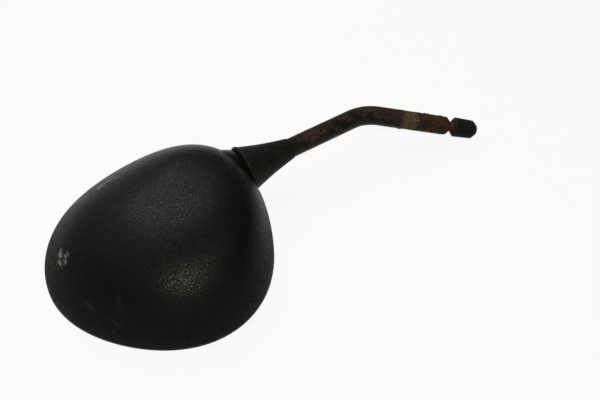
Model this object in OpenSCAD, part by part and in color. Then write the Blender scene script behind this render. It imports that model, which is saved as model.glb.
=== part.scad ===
// A motorcycle mirror that lies glass down: an egg-shaped domed head on a ball joint, a rubber boot,
// a bent steel stem and a push-on cap over its thread.
// The origin is the centre of the shoulder where the stem's thread starts, +X runs along the stem's
// straight first run, away from the head, and +Z points out of the head's back.

/* [Head] */
// Mean radius of the head's egg-shaped outline
head_r = 71.8; // [68:0.2:78]
// How far the outline is stretched into an oval, as a share of its radius
oval = 0.021; // [0:0.001:0.05]
// Direction of the oval's long axis, in degrees from +X
oval_dir = 7; // [0:1:60]
// How much the outline narrows to an egg's tip, as a share of its radius
egg = 0.043; // [0:0.001:0.06]
// Direction of the egg's tip, in degrees from +X
egg_dir = 41; // [20:1:60]
// Height of the dome's crown above the stem's axis
crown_up = 24.3; // [23:0.1:30]
// Power of the dome's profile away from the ball joint (2 is an ellipse)
dome_power = 2; // [1.9:0.05:2.6]
// How much squarer the dome's shoulder is over the ball joint
shoulder_power = 5.5; // [2:0.1:6.5]
// Direction of the square shoulder, in degrees from +X
shoulder_dir = -1; // [-10:1:25]
// How narrowly the square shoulder keeps to its direction
shoulder_focus = 5.8; // [3:0.2:8]
// Thickness of the housing's wall
wall = 2.5; // [2:0.1:3]
// How far the ball's centre lies inside the outline's mean radius
ball_in = 17.2; // [16:0.2:22]
// How far the head's middle lies to the side of the stem's first run
head_side = 14.4; // [10:0.2:18]

/* [Bezel and glass] */
// Thickness of the bezel's lip in front of the glass
lip_t = 1.2; // [1:0.1:1.6]
// Width of the bezel's lip, from the outline inwards
lip_w = 7; // [6:0.25:9]
// Height of the band of bezel that shows below the housing
band_h = 2; // [1.8:0.1:2.6]
// Rounding of the bezel's outer edge
rim_round = 1; // [0.5:0.1:1.4]
// Height of the bezel's skirt inside the housing
skirt_h = 2.6; // [1.5:0.1:2.8]
// Thickness of the bezel's skirt
skirt_t = 1.5; // [1.2:0.1:2]
// How far the skirt leans in, along the housing's wall
skirt_lean = 0.4; // [0.35:0.05:0.6]
// Thickness of the mirror glass
glass_t = 2.5; // [2:0.1:2.8]
// Thickness of the foam pad behind the glass
pad_t = 0.8; // [0.5:0.1:1]
// Thickness of the carrier plate behind the pad
carrier_t = 2; // [1.6:0.1:2.4]
// Height of the ribs on the carrier plate's back
rib_h = 2; // [1:0.25:3]
// Thickness of the carrier plate's ribs
rib_t = 1.6; // [1.2:0.1:2.4]
// Directions of the ribs that run across the carrier plate
rib_dirs = [20, 65, 125]; // [0:1:179]
// Gap between pieces that lie beside each other in the bezel
side_gap = 0.3; // [0.2:0.05:0.5]
// Gap of the parting line between bezel and housing
parting_gap = 0.2; // [0.1:0.05:0.3]

/* [Ball joint] */
// Height of the ball's centre above the surface that the head lies on
axis_h = 27; // [26.5:0.25:29]
// Diameter of the ball
ball_d = 20; // [18:0.5:21]
// Diameter of the ball's bore, which the stem's spigot fills
ball_bore_d = 7; // [6:0.25:8]
// Thickness of the plastic seat and ring round the ball
liner_t = 1.45; // [1.2:0.05:1.8]
// Running clearance of the ball, its seat and its ring
ball_gap = 0.05; // [0.03:0.01:0.08]
// Wall of the cast socket round the ball's seat and ring
socket_wall = 3.85; // [3.5:0.05:4.2]
// Clearance between the socket and the boss round it
socket_gap = 0.4; // [0.3:0.05:0.6]
// Room round the stem's neck in the socket's mouth, in which it swings
socket_mouth_gap = 4.5; // [4.2:0.1:4.7]
// Room round the stem's neck in the mouth of the housing's boss
mouth_gap = 4.7; // [4.4:0.1:5]
// Where the flat floor of the boot's pocket lies, ahead of the ball's centre
pocket_x = 5.5; // [5:0.1:5.8]
// Width of the pocket's floor round the boss
pocket_w = 1.3; // [1.1:0.1:1.6]
// Gap between the two halves of the socket
split_gap = 1; // [0.6:0.1:1.4]
// Thickness of the socket block's flange and of the clamp plate
flange_t = 4; // [3.5:0.25:4.5]
// Diameter of the spring pin through ball and spigot
pin_d = 3; // [2.5:0.25:3.5]
// Length of the spring pin
pin_l = 17; // [14:0.5:17]
// Wall of the spring pin
pin_wall = 0.6; // [0.4:0.05:0.8]

/* [Screws] */
// Diameter of the two clamp screws
clamp_screw_d = 4; // [3.5:0.25:4.25]
// How far the clamp screws stand outside of the socket
clamp_screw_out = 1.5; // [1.2:0.1:2]
// How far the clamp screws lie behind the ball's centre
clamp_screw_back = 2.5; // [2.4:0.1:3]
// Diameter of the three screws that hold the socket block
block_screw_d = 4; // [3.5:0.25:4.5]
// How far the side block screws stand outside of the socket
block_screw_out = 7.6; // [7:0.2:9]
// How far the side block screws lie behind the ball's centre
block_screw_back = 13; // [11:0.25:14]
// How far the rear block screw stands outside of the socket
rear_screw_out = 8.6; // [8:0.2:10]
// How much of the housing's inside height is left over the block screws' bores
block_screw_roof = 2.4; // [1:0.1:3.5]
// Diameter of the carrier plate's screws
carrier_screw_d = 3.5; // [3:0.25:4]
// How deep the carrier's screws go into the housing's posts
carrier_screw_grip = 9; // [7:0.5:12]
// Distance of the carrier's screws in from the outline's mean radius
carrier_screw_in = 17.5; // [14:0.5:22]
// Directions of the carrier's screws from the head's middle
carrier_screw_dirs = [80, 150, 215, 290]; // [0:1:359]
// Wall of the housing's posts round a screw
post_wall = 2.4; // [2:0.1:2.8]
// Height of the springs under the clamp screws' heads
spring_h = 7; // [6:0.25:7.5]
// Wire diameter of those springs
spring_wire_d = 1.2; // [1:0.1:1.4]
// Full turns of those springs
spring_turns = 4; // [3:1:5]
// Radius of the socket block's ears round the clamp screws
clamp_ear_r = 5; // [4.5:0.1:5.2]
// Radius of the socket block's ears round its own screws
block_ear_r = 6; // [5:0.25:6.5]
// Thickness of the washers between springs and clamp plate
washer_t = 0.8; // [0.6:0.1:1]

/* [Stem] */
// Diameter of the stem's bar
bar_d = 13; // [11:0.25:14]
// Diameter of the turned neck between ball and bar
neck_d = 10; // [9:0.25:10.5]
// Where the neck ends and the full bar begins, ahead of the ball's centre
neck_end = 22; // [20:0.5:28]
// From the ball's centre to the corner of the bend
reach = 107; // [95:1:125]
// Angle of the bend
bend_angle = 32; // [25:0.5:40]
// Radius of the bend, at the bar's centre line
bend_r = 38; // [25:1:45]
// How much the bar's radius shrinks round the bend
bend_thin = 0.05; // [0.04:0.01:0.2]
// From the corner of the bend to the thread's shoulder
arm = 62; // [50:1:75]
// Bevel on the bar's end at the shoulder
shoulder_bevel = 2; // [0.5:0.25:2.5]
// Diameter of the thread's relief groove
relief_d = 7; // [6:0.1:7.4]
// Width of the relief groove
relief_w = 1.6; // [1:0.1:3]
// Diameter of the thread
thread_d = 8; // [7.5:0.5:10]
// Length of the threaded stud, from the shoulder
thread_l = 18; // [14:0.5:19]

/* [Boot] */
// Where the boot's thin end lies, ahead of the ball's centre
boot_end = 48; // [42:0.5:56]
// How far the boot's lip stays inside of the boss's radius
boot_lip_in = 2.1; // [1.9:0.05:2.4]
// Thickness of the boot's lip
boot_lip_t = 2.7; // [2.2:0.1:3.2]
// Wall of the boot's thin end round the bar
boot_tip_t = 0.6; // [0.5:0.05:1.2]
// Length over which the boot grips the bar
boot_grip = 17; // [12:0.5:20]
// How far the boot's flank dips in between its ends
boot_waist = 0.6; // [0:0.1:1.2]
// Radius of the rounding on the boot's lip
boot_lip_round = 1.3; // [0.5:0.1:1.6]
// How far the boot's flank starts below its lip
boot_lip_step = 0.8; // [0.4:0.1:1]
// Width of the boot's lip behind its rounding
boot_lip_w = 1.8; // [1.2:0.1:2.4]
// Bevel on the boot's thin end
boot_tip_bevel = 0.4; // [0.2:0.05:0.45]
// Wall of the boot where it leaves the lip
boot_wall = 2.2; // [1.8:0.1:2.6]
// Running clearance between the boot's lip and the boss
boot_gap = 0.5; // [0.3:0.05:0.6]

/* [Cap] */
// Outer diameter of the cap over the thread, at its mouth
cap_d = 13.5; // [12.8:0.1:14]
// Outer diameter of the cap's far end, before its bevel
cap_end_d = 12.7; // [12:0.1:13.5]
// Length of the cap
cap_l = 17.4; // [17:0.1:24]
// How far the cap's mouth stops short of the shoulder
cap_stop = 3.5; // [3:0.25:5]
// Bevel round the cap's mouth
cap_mouth_bevel = 1.4; // [0.5:0.1:1.8]
// Bevel round the cap's closed end
cap_end_bevel = 2.8; // [0.5:0.1:3]
// Length of that bevel
cap_end_taper = 3.3; // [2:0.1:4]
// Clearance of the cap on the thread
cap_gap = 0.08; // [0.05:0.01:0.1]

/* [Hidden] */

$fn = 48;
eps = 0.01;      // overlap of solids that are joined
over = 1;        // how far a cut starts outside of what it cuts
far = 4 * head_r; // reach of a cut that goes right through
fit = 0.02;      // radial clearance of a tight fit within one piece's seat
clear = 0.25;    // radial clearance of a screw in its hole

outline_n = 72;  // corners of the egg-shaped outline
outline_dirs = [for (i = [0:outline_n - 1]) i * 360 / outline_n];
dome_rings = 14; // rings of the dome between rim and crown

dome_h = axis_h + crown_up;            // height of the crown above the glass side's rim
head_back = head_r - ball_in;          // from the ball's centre back to the head's middle
head_mid = [-head_back, -head_side, 0];
glass_z = lip_t;                       // front of the glass
pad_z = glass_z + glass_t;             // front of the pad
carrier_z = pad_z + pad_t;             // front of the carrier plate
carrier_top = carrier_z + carrier_t;
housing_z = band_h + parting_gap;      // lowest edge of the housing
skirt_inset = wall + side_gap / 2;     // outer face of the bezel's skirt, in from the outline
inside_inset = skirt_inset + skirt_lean + skirt_t + side_gap; // outline of the glass and the carrier plate

ball_r = ball_d / 2;
liner_in_r = ball_r + ball_gap;
liner_out_r = liner_in_r + liner_t;
socket_r = liner_out_r + ball_gap;
socket_out_r = socket_r + socket_wall;
boss_r = socket_out_r + socket_gap + wall; // the housing's round boss, which the boot covers
pocket_r = boss_r + pocket_w;
mouth_r = neck_d / 2 + mouth_gap;
socket_mouth_r = neck_d / 2 + socket_mouth_gap;
clamp_screw_y = socket_out_r + clamp_screw_out;
block_screw_y = socket_out_r + block_screw_out;
rear_screw_back = socket_out_r + rear_screw_out;
ball_flat = sqrt(pow(ball_r, 2) - pow(neck_d / 2 + fit, 2)); // ball's flat, where the neck's shoulder seats
ring_front = 66; // angle of the ring's front edge from the stem's axis
ring_rear = 96;  // angle of its rear edge
seat_front = 110; // angle of the seat's edge

flange_z = axis_h + split_gap / 2;     // underside of the block's flange
flange_top = flange_z + flange_t;
clamp_top = axis_h - split_gap / 2;
clamp_z = clamp_top - flange_t;        // underside of the clamp plate
washer_z = clamp_z - washer_t;
spring_z = washer_z - spring_h;        // seat of the clamp screws' heads
clamp_spots = [for (side = [1, -1]) [-clamp_screw_back, side * clamp_screw_y]];
block_spots = concat([[-rear_screw_back, 0]],
    [for (side = [1, -1]) [-block_screw_back, side * block_screw_y]]);
carrier_screw_r = head_r - carrier_screw_in;
carrier_spots = [for (t = carrier_screw_dirs)
    [carrier_screw_r * cos(t) - head_back, carrier_screw_r * sin(t) - head_side]];
block_post_r = block_screw_d / 2 + post_wall;
carrier_post_r = carrier_screw_d / 2 + post_wall;
post_gap = 0.2;  // gap between a post and what is screwed against it
bore_over = 0.5; // how much deeper a post's bore is than its screw
// Room between the flange and the lowest part of the dome over the block screws
block_screw_room = min([for (spot = block_spots) inside_height(spot)]) - flange_top;
block_screw_grip = block_screw_room - block_screw_roof - bore_over; // how deep they go into the posts
clamp_screw_short = 0.5; // how far a clamp screw ends below the flange's top

washer_r = 1.05 * clamp_screw_d;
pad_inset = 1.5;                        // how far the pad stays inside the glass's edge

neck_cone = (bar_d - neck_d) / 2;       // length of the cone between neck and bar
thread_bevel = (thread_d - relief_d) / 2;
bend_tangent = bend_r * tan(bend_angle / 2);
bend_over = 1;                          // how far the bend turns on inside each straight run, in degrees
cap_far = cap_stop + cap_l - cap_end_taper; // last full circle of the cap, past the shoulder
// The stem's second run drops until the cap's far edge meets the surface that the head lies on
drop_arm = arm + cap_far;
drop_angle = asin(axis_h / norm([drop_arm, cap_end_d / 2])) - atan(cap_end_d / 2 / drop_arm);
roll_angle = asin(sin(drop_angle) / sin(bend_angle));
arm_dir = [cos(bend_angle), -sin(bend_angle) * cos(roll_angle), -sin(bend_angle) * sin(roll_angle)];
shoulder = [reach, 0, axis_h] + arm * arm_dir; // the thread's shoulder, from below the ball's centre

// Radius of the egg-shaped outline in direction t
function outline_r(t) = head_r * (1 + oval * cos(2 * (t - oval_dir)) + egg * cos(3 * (t - egg_dir)));
function outline_at(t, inset, z) = [(outline_r(t) - inset) * cos(t), (outline_r(t) - inset) * sin(t), z];
// Power of the dome's profile in direction t
function power_at(t) = dome_power + shoulder_power * pow((1 + cos(t - shoulder_dir)) / 2, shoulder_focus);
// A point of the dome in direction t at height z, where the wall's face is inset from the outside
function dome_at(t, inset, z) =
    let (h = dome_h - inset, r = (outline_r(t) - inset) * pow(1 - pow(z / h, 2), 1 / power_at(t)))
    [r * cos(t), r * sin(t), z];
// Height of the housing's inner face over a spot that is given from below the ball's centre
function inside_height(spot) =
    let (p = [spot.x + head_back, spot.y + head_side], t = atan2(p.y, p.x),
        share = norm(p) / (outline_r(t) - wall))
    (dome_h - wall) * sqrt(1 - pow(share, power_at(t)));

// Puts what is modelled round the point below the ball into the part's own frame
module placed() translate(-shoulder) children();
module at_head() translate(head_mid) children();
module at_ball() translate([0, 0, axis_h]) children();
// Turns what is modelled along +Z to lie along +X from the ball's centre
module on_axis() at_ball() rotate([0, 90, 0]) children();
// A sphere round the ball's centre; the turn keeps its seam and poles out of the way
module ball(r, turn = 90) at_ball() rotate([0, turn, 0]) sphere(r);
// Turns what is modelled along +Z from the shoulder to lie along the stem's second run
module on_thread() at_ball() rotate([roll_angle, 0, 0]) translate([reach, 0, 0]) rotate([0, 0, -bend_angle])
    translate([arm, 0, 0]) rotate([0, 90, 0]) children();

// A closed dome over the outline, from height z0 to the crown
module dome(inset, z0) {
    h = dome_h - inset;
    low = asin(z0 / h);
    rings = [for (i = [0:dome_rings - 1]) h * sin(low + (90 - low) * i / dome_rings)];
    points = [for (z = rings, t = outline_dirs) dome_at(t, inset, z)];
    crown = len(points);
    last = crown - outline_n;
    polyhedron(concat(points, [[0, 0, h]]), concat(
        [[for (j = [0:outline_n - 1]) j]],
        [for (i = [0:dome_rings - 2], j = [0:outline_n - 1], half = [0, 1])
            let (k = (j + 1) % outline_n, a = i * outline_n, b = a + outline_n)
            half == 0 ? [a + j, b + j, b + k] : [a + j, b + k, a + k]],
        [for (j = [0:outline_n - 1]) [last + j, crown, last + (j + 1) % outline_n]]));
}

// A flat plate inside the outline
module plate(inset, z, t) translate([0, 0, z]) linear_extrude(t)
    polygon([for (a = outline_dirs) let (p = outline_at(a, inset, 0)) [p.x, p.y]]);

// A ring that follows the outline; its section is a list of [inset, height], anticlockwise seen from ahead
module outline_ring(section) {
    n = len(section);
    polyhedron([for (t = outline_dirs, s = section) outline_at(t, s.x, s.y)],
        [for (i = [0:outline_n - 1], j = [0:n - 1], half = [0, 1])
            let (a = i * n, b = (i + 1) % outline_n * n, k = (j + 1) % n)
            half == 0 ? [a + j, b + j, b + k] : [a + j, b + k, a + k]]);
}

// The room in which the boot swings, grown by the thickness of its wall
module pocket(grown) on_axis() translate([0, 0, pocket_x - grown])
    cylinder(r = pocket_r + grown, h = far);

// A pan-head screw that points up, with its head's seat at the origin
module pan_screw(d, l) difference() {
    union() {
        cylinder(d = d, h = l);
        translate([0, 0, -0.35 * d]) cylinder(d = 1.8 * d, h = 0.35 * d);
        translate([0, 0, -0.6 * d]) cylinder(d1 = 1.2 * d, d2 = 1.8 * d, h = 0.25 * d + eps);
    }
    translate([0, 0, -0.6 * d]) cross_recess(d);
}

// The cross-shaped recess in the head of a screw of diameter d
module cross_recess(d) for (turn = [0, 90]) rotate([0, 0, turn])
    translate([-0.45 * d, -0.09 * d, -eps]) cube([0.9 * d, 0.18 * d, 0.3 * d]);

// A slab across the stem's axis between two places ahead of the ball's centre
module slab(from, to) at_ball() translate([from, -far / 2, -far / 2]) cube([to - from, far, far]);

// A plastic shell round the ball
module liner(turn) difference() {
    ball(liner_out_r, turn);
    ball(liner_in_r, turn);
}

// The bar's bend, a little thinner than the straight runs, into which its ends reach
module bend() translate([reach - bend_tangent, -bend_r, 0]) rotate([0, 0, 90 - bend_angle - bend_over])
    rotate_extrude(angle = bend_angle + 2 * bend_over) translate([bend_r, 0])
        circle(d = bar_d - 2 * bend_thin);

module pin_hole() at_ball() translate([0, 0, -far / 2]) cylinder(d = pin_d + 2 * fit, h = far);

module stem() color("#3a2c26") placed() {
    difference() {
        at_ball() rotate([roll_angle, 0, 0]) {
            rotate([0, 90, 0]) rotate_extrude() polygon([
                [0, -ball_flat], [ball_bore_d / 2 - fit, -ball_flat], [ball_bore_d / 2 - fit, ball_flat],
                [neck_d / 2, ball_flat], [neck_d / 2, neck_end], [bar_d / 2, neck_end + neck_cone],
                [bar_d / 2, reach - bend_tangent], [0, reach - bend_tangent]]);
            bend();
        }
        pin_hole();
    }
    on_thread() rotate_extrude() polygon([
        [0, bend_tangent - arm], [bar_d / 2, bend_tangent - arm], [bar_d / 2, -shoulder_bevel],
        [bar_d / 2 - shoulder_bevel, 0], [relief_d / 2, 0], [relief_d / 2, relief_w],
        [thread_d / 2, relief_w + thread_bevel], [thread_d / 2, thread_l - thread_bevel],
        [relief_d / 2, thread_l], [0, thread_l]]);
}

module pivot_ball() color("silver") placed() difference() {
    intersection() {
        ball(ball_r);
        slab(-ball_flat, ball_flat);
    }
    on_axis() translate([0, 0, -far / 2]) cylinder(d = ball_bore_d, h = far);
    pin_hole();
}

module ball_pin() color("gray") placed() at_ball() difference() {
    translate([0, 0, -pin_l / 2]) cylinder(d = pin_d, h = pin_l);
    translate([0, 0, -far / 2]) cylinder(d = pin_d - 2 * pin_wall, h = far);
    translate([0, -pin_wall / 2, -far / 2]) cube([pin_d, pin_wall, far]);
}

// The boot is a hollow cone whose lip rides on the boss and whose thin end grips the bar
module boot() color("#161616") placed() {
    seat_r = boss_r + boot_gap;
    lip_r = boss_r - boot_lip_in;
    lip_edge = lip_r - boot_lip_round;
    lip_x = sqrt(pow(seat_r, 2) - pow(lip_edge, 2));
    bead_x = lip_x + boot_lip_round;
    from = [bead_x + boot_lip_w, lip_r - boot_lip_step];
    to = [boot_end - boot_tip_bevel, bar_d / 2 + boot_tip_t];
    low = asin((lip_r - boot_lip_t) / seat_r);
    high = asin(lip_edge / seat_r);
    under = [for (i = [0:4]) let (a = low + (high - low) * i / 4) seat_r * [cos(a), sin(a)]];
    bead = [for (a = [165:-15:90]) [bead_x, lip_edge] + boot_lip_round * [cos(a), sin(a)]];
    flank = [for (i = [0:10]) let (s = i / 10) from + (to - from) * s - [0, boot_waist * sin(180 * s)]];
    inside = boot_end - boot_grip;
    grip_r = bar_d / 2 + fit;
    share = (inside - from.x) / (to.x - from.x);
    inside_r = from.y + (to.y - from.y) * share - boot_waist * sin(180 * share) - boot_wall;
    outline = concat(under, bead, [[from.x - boot_lip_step, lip_r]], flank,
        [[boot_end, to.y - boot_tip_bevel], [boot_end, grip_r], [inside, grip_r], [inside, inside_r]]);
    on_axis() rotate_extrude() polygon([for (p = outline) [p.y, p.x]]);
}

module thread_cap() color("#1c1c1e") placed() on_thread() difference() {
    cap_end = cap_stop + cap_l;
    rotate_extrude() polygon([
        [0, cap_stop], [cap_d / 2 - cap_mouth_bevel, cap_stop], [cap_d / 2, cap_stop + cap_mouth_bevel],
        [cap_end_d / 2, cap_far], [cap_end_d / 2 - cap_end_bevel, cap_end], [0, cap_end]]);
    cylinder(d = thread_d + 2 * cap_gap, h = thread_l + cap_gap);
}

module ball_seat() color("ivory") placed() intersection() {
    liner(0);
    slab(-far / 2, liner_out_r * cos(seat_front));
}

module ball_ring() color("ivory") placed() intersection() {
    liner(90);
    slab(liner_out_r * cos(ring_rear), liner_out_r * cos(ring_front));
}

// A post that hangs from the dome, bored for a screw
module post(spot, r, bottom) translate([spot.x, spot.y, bottom]) cylinder(r = r, h = dome_h);

module posts() difference() {
    intersection() {
        at_head() dome(wall / 2, housing_z);
        union() {
            for (spot = block_spots) post(spot, block_post_r, flange_top + post_gap);
            for (spot = carrier_spots) post(spot, carrier_post_r, carrier_top + post_gap);
        }
    }
    for (spot = block_spots) translate([spot.x, spot.y, 0])
        cylinder(d = block_screw_d + 2 * fit, h = flange_top + block_screw_grip + bore_over);
    for (spot = carrier_spots) translate([spot.x, spot.y, 0])
        cylinder(d = carrier_screw_d + 2 * fit, h = carrier_top + carrier_screw_grip + bore_over);
}

module housing() color("#25282a") placed() {
    difference() {
        union() {
            difference() {
                at_head() dome(0, housing_z);
                pocket(0);
            }
            ball(boss_r);
        }
        difference() {
            at_head() dome(wall, housing_z - over);
            pocket(wall);
        }
        ball(boss_r - wall);
        on_axis() cylinder(r = mouth_r, h = boss_r + over);
    }
    posts();
}

module front_bezel() color("#1e2022") placed() at_head() outline_ring([
    [lip_w, 0], [rim_round, 0], [0.3 * rim_round, 0.3 * rim_round], [0, rim_round], [0, band_h],
    [skirt_inset, band_h], [skirt_inset + skirt_lean, band_h + skirt_h],
    [inside_inset - side_gap, band_h + skirt_h], [inside_inset - side_gap, lip_t], [lip_w, lip_t]]);

module mirror_glass() color("lightsteelblue") placed() at_head() plate(inside_inset, glass_z, glass_t);

module glass_pad() color("dimgray") placed() at_head() plate(inside_inset + pad_inset, pad_z, pad_t);

module carrier_plate() color("#303234") placed() difference() {
    at_head() {
        plate(inside_inset, carrier_z, carrier_t);
        difference() {
            plate(inside_inset + rib_t, carrier_top - eps, rib_h);
            plate(inside_inset + 2 * rib_t, carrier_top - over, rib_h + 2 * over);
        }
        intersection() {
            plate(inside_inset + 1.5 * rib_t, carrier_top - eps, rib_h);
            for (t = rib_dirs) rotate([0, 0, t])
                translate([-far / 2, -rib_t / 2, 0]) cube([far, rib_t, far]);
        }
    }
    pocket(wall + side_gap);
    for (spot = carrier_spots) translate([spot.x, spot.y, carrier_z])
        countersunk(carrier_screw_d, far, clear);
}

// The body of a countersunk screw that points up, or with a clearance its hole
module countersunk(d, l, gap = 0) {
    cylinder(d = d + 2 * gap, h = l);
    translate([0, 0, -gap]) cylinder(d1 = 1.9 * d + 2 * gap, d2 = d, h = 0.45 * d + gap);
}

module carrier_screws() color("silver") placed() for (spot = carrier_spots)
    translate([spot.x, spot.y, carrier_z]) difference() {
        countersunk(carrier_screw_d, carrier_t + carrier_screw_grip);
        cross_recess(carrier_screw_d);
    }

// Shape of the flange: a plate that takes in all the screws' ears
module flange(ears, r) linear_extrude(flange_t) hull() for (i = [0:len(ears) - 1])
    translate(ears[i]) circle(r = r[i], $fn = 32);

module socket_block() color("darkgray") placed() difference() {
    union() {
        intersection() {
            ball(socket_out_r);
            translate([-far / 2, -far / 2, flange_z]) cube(far);
        }
        translate([0, 0, flange_z]) flange(concat(block_spots, clamp_spots),
            [block_ear_r, block_ear_r, block_ear_r, clamp_ear_r, clamp_ear_r]);
    }
    ball(socket_r);
    on_axis() cylinder(r = socket_mouth_r, h = far);
    for (spot = block_spots) translate([spot.x, spot.y, 0])
        cylinder(d = block_screw_d + 2 * clear, h = far);
    for (spot = clamp_spots) translate([spot.x, spot.y, 0])
        cylinder(d = clamp_screw_d + 2 * fit, h = far);
}

module block_screws() color("silver") placed() for (spot = block_spots)
    translate([spot.x, spot.y, flange_z]) pan_screw(block_screw_d, flange_t + block_screw_grip);

module clamp_plate() color("darkgray") placed() difference() {
    union() {
        intersection() {
            ball(socket_out_r, -90);
            translate([-far / 2, -far / 2, clamp_top - far]) cube(far);
        }
        translate([0, 0, clamp_z]) flange(clamp_spots, [clamp_ear_r, clamp_ear_r]);
    }
    ball(socket_r, -90);
    on_axis() cylinder(r = socket_mouth_r, h = far);
    for (spot = clamp_spots) translate([spot.x, spot.y, 0]) {
        cylinder(d = clamp_screw_d + 2 * clear, h = far);
        cylinder(r = washer_r + clear, h = clamp_z);
    }
}

module clamp_screws() color("silver") placed() for (spot = clamp_spots)
    translate([spot.x, spot.y, spring_z]) pan_screw(clamp_screw_d, flange_top - spring_z - clamp_screw_short);

module clamp_washers() color("lightgray") placed() for (spot = clamp_spots)
    translate([spot.x, spot.y, washer_z]) difference() {
        cylinder(r = washer_r, h = washer_t);
        translate([0, 0, -over]) cylinder(d = clamp_screw_d + 2 * clear, h = washer_t + 2 * over);
    }

// A round wire wound into a spring that stands on its own end
module coil(mean_r, wire_d, h, turns) {
    per_turn = 12;
    sides = 6;
    steps = per_turn * turns;
    rise = (h - wire_d) / steps;
    polyhedron([for (i = [0:steps], j = [0:sides - 1])
            let (a = i * 360 / per_turn, b = j * 360 / sides, r = mean_r + wire_d / 2 * cos(b))
            [r * cos(a), r * sin(a), wire_d / 2 * (1 + sin(b)) + i * rise]],
        concat([[for (j = [0:sides - 1]) j]],
            [for (i = [0:steps - 1], j = [0:sides - 1], half = [0, 1])
                let (a = i * sides, b = a + sides, k = (j + 1) % sides)
                half == 0 ? [a + j, b + j, b + k] : [a + j, b + k, a + k]],
            [[for (j = [sides - 1:-1:0]) steps * sides + j]]));
}

module clamp_springs() color("gray") placed() for (spot = clamp_spots) translate([spot.x, spot.y, spring_z])
    coil(clamp_screw_d / 2 + clear + spring_wire_d / 2, spring_wire_d, spring_h, spring_turns);

stem();
pivot_ball();
ball_pin();
boot();
thread_cap();
ball_seat();
ball_ring();
housing();
front_bezel();
mirror_glass();
glass_pad();
carrier_plate();
carrier_screws();
socket_block();
block_screws();
clamp_plate();
clamp_screws();
clamp_springs();
clamp_washers();
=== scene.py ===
import math

import bmesh
import bpy
from mathutils import Matrix, Vector, noise


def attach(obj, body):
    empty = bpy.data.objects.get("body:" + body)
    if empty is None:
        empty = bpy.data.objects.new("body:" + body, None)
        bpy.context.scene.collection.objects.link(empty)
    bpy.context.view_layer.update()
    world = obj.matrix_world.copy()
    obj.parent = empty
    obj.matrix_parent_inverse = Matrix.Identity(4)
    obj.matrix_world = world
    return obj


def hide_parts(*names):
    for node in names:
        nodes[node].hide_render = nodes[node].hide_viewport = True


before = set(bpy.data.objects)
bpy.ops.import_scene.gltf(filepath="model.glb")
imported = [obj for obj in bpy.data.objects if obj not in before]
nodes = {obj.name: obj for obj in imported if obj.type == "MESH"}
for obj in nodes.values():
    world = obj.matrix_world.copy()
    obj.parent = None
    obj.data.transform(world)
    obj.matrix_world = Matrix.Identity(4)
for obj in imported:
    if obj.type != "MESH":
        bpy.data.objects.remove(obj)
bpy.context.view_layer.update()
print("frame loaded")

# Lengths are in millimetres up to the matrices, which end in metres and in the model's own frame.
# Heights are above the surface that the mirror lies on, and x and y start at the ball's centre.

ball = {"height": 27.0, "radius": 10.0}

rod = {
    "bar": 6.5, "neck": 5.0, "neckPlay": 0.02, "neckEnd": 22.0, "neckTaper": 1.0, "spigot": 3.48, "spigotBevel": 0.3,
    "reach": 107.0, "bend": math.radians(32), "bendRadius": 38.0, "arm": 62.0,
    "shoulderBevel": 2.0, "groove": 3.5, "grooveWidth": 1.6,
    "thread": 4.0, "threadRoot": 3.3, "threadLength": 18.0, "pitch": 1.25,
    "flankSlope": 1.35, "rootWidth": 0.12, "runOut": 1.2, "runOutDepth": 0.3,
}

sleeve = {
    "mouthRadius": 6.75, "endRadius": 6.35, "start": 3.5, "length": 17.4, "bore": 4.08, "boreEnd": 18.08, "steps": 128,
    "mouthBevel": 1.4, "endBevel": 2.8, "endTaper": 3.3,
    "lipRound": 0.25, "faceRound": 0.2, "faceIn": 0.1, "sideRound": 0.35, "sideUp": 0.15,
    "sideFrom": 0.2, "sideShorter": 0.5, "sideShares": (0.2, 0.4, 0.6, 0.8, 1),
    "bevelCorner": ((-0.07, 0.02), (-0.25, 0.25)), "endCorner": ((0.25, -0.3), (-0.05, -0.06), (-0.4, 0.0)),
}

# The second run drops until the sleeve's far edge touches the ground
dropArm = rod["arm"] + sleeve["start"] + sleeve["length"] - sleeve["endTaper"]
drop = math.asin(ball["height"] / math.hypot(dropArm, sleeve["endRadius"])) - math.atan(sleeve["endRadius"] / dropArm)
roll = math.asin(math.sin(drop) / math.sin(rod["bend"]))
armWay = Vector((math.cos(rod["bend"]), -math.sin(rod["bend"]) * math.cos(roll),
                 -math.sin(rod["bend"]) * math.sin(roll)))
shoulderAt = Vector((rod["reach"], 0, ball["height"])) + rod["arm"] * armWay

toMetres = Matrix.Diagonal((0.001, 0.001, 0.001, 1))
groundPlace = toMetres @ Matrix.Translation(-shoulderAt)           # x and y from the ball, z from the ground
ballPlace = groundPlace @ Matrix.Translation((0, 0, ball["height"]))
rodPlace = ballPlace @ Matrix.Rotation(roll, 4, "X")               # the stem's own plane is level here
axisPlace = ballPlace @ Matrix.Rotation(math.radians(90), 4, "Y")  # z runs along the stem's first run
threadPlace = (rodPlace @ Matrix.Translation((rod["reach"], 0, 0)) @ Matrix.Rotation(-rod["bend"], 4, "Z")
               @ Matrix.Translation((rod["arm"], 0, 0)) @ Matrix.Rotation(math.radians(90), 4, "Y"))


# small helpers

sameWithin = 0.0001     # places this near each other count as one
weldWithin = 0.0005     # corners this near each other are merged
wellApart = 1.0         # and this is more than any of them is out of place


def startPiece(name, add, **sizes):
    bpy.ops.object.select_all(action="DESELECT")
    add(**sizes)
    piece = bpy.context.object
    piece.name = name
    piece.data.name = name
    return piece


def only(piece):
    bpy.ops.object.select_all(action="DESELECT")
    piece.select_set(True)
    bpy.context.view_layer.objects.active = piece


def applyModifier(piece, kind, **settings):
    only(piece)
    modifier = piece.modifiers.new(kind.lower(), kind)
    for key, value in settings.items():
        setattr(modifier, key, value)
    bpy.ops.object.modifier_apply(modifier=modifier.name)


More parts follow.
